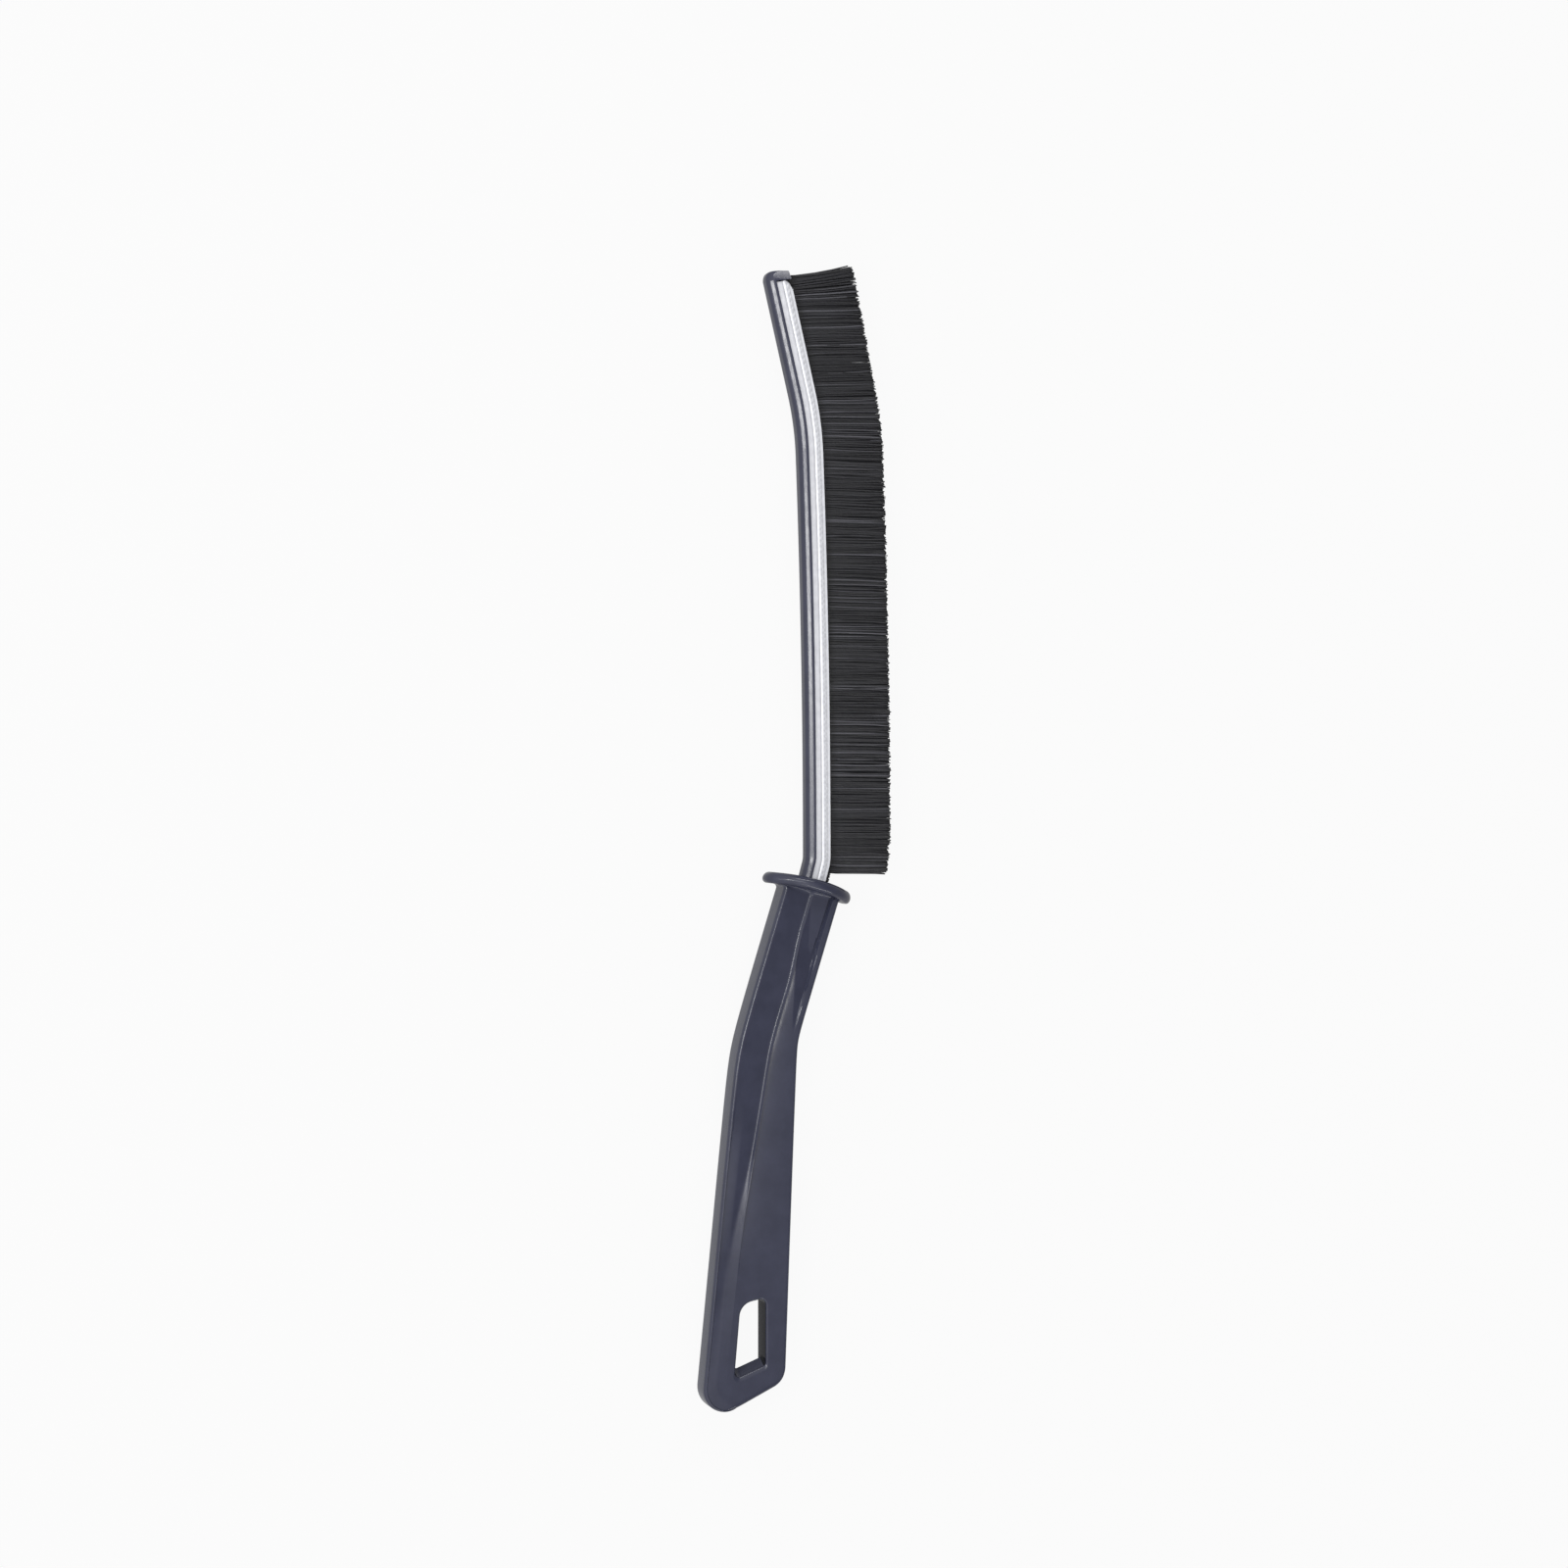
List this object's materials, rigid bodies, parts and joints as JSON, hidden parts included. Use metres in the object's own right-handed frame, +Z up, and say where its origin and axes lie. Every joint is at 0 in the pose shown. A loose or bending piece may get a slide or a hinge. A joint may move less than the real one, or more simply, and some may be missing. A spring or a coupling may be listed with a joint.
{
  "type": "crevice brush",
  "caption": "Slim crevice brush: a cranked spine holds a metal strip of stiff filaments, and below an arched oval guard a ridged grip ends in a flat butt with a hanging hole.",
  "frame": {"origin": "middle of the underside of the bounding box, with the brush lying on its side", "axes": "+Y from the butt of the grip to the tip of the head, +X towards the bristle ends, +Z up through the thickness"},
  "size_m": [0.0416, 0.2384, 0.0136],
  "materials": {
    "handle": "glossy moulded plastic, dark blue-grey",
    "strip": "bright galvanized sheet, pressed and crimped",
    "wire": "drawn wire",
    "bristles": "black drawn filament, satin"
  },
  "bodies": {
    "root": {"handle": "handle", "metal_strip": "strip", "core_wire": "wire", "bristles_heel": "bristles", "bristles_middle": "bristles", "bristles_tip": "bristles"}
  },
  "joints": []
}
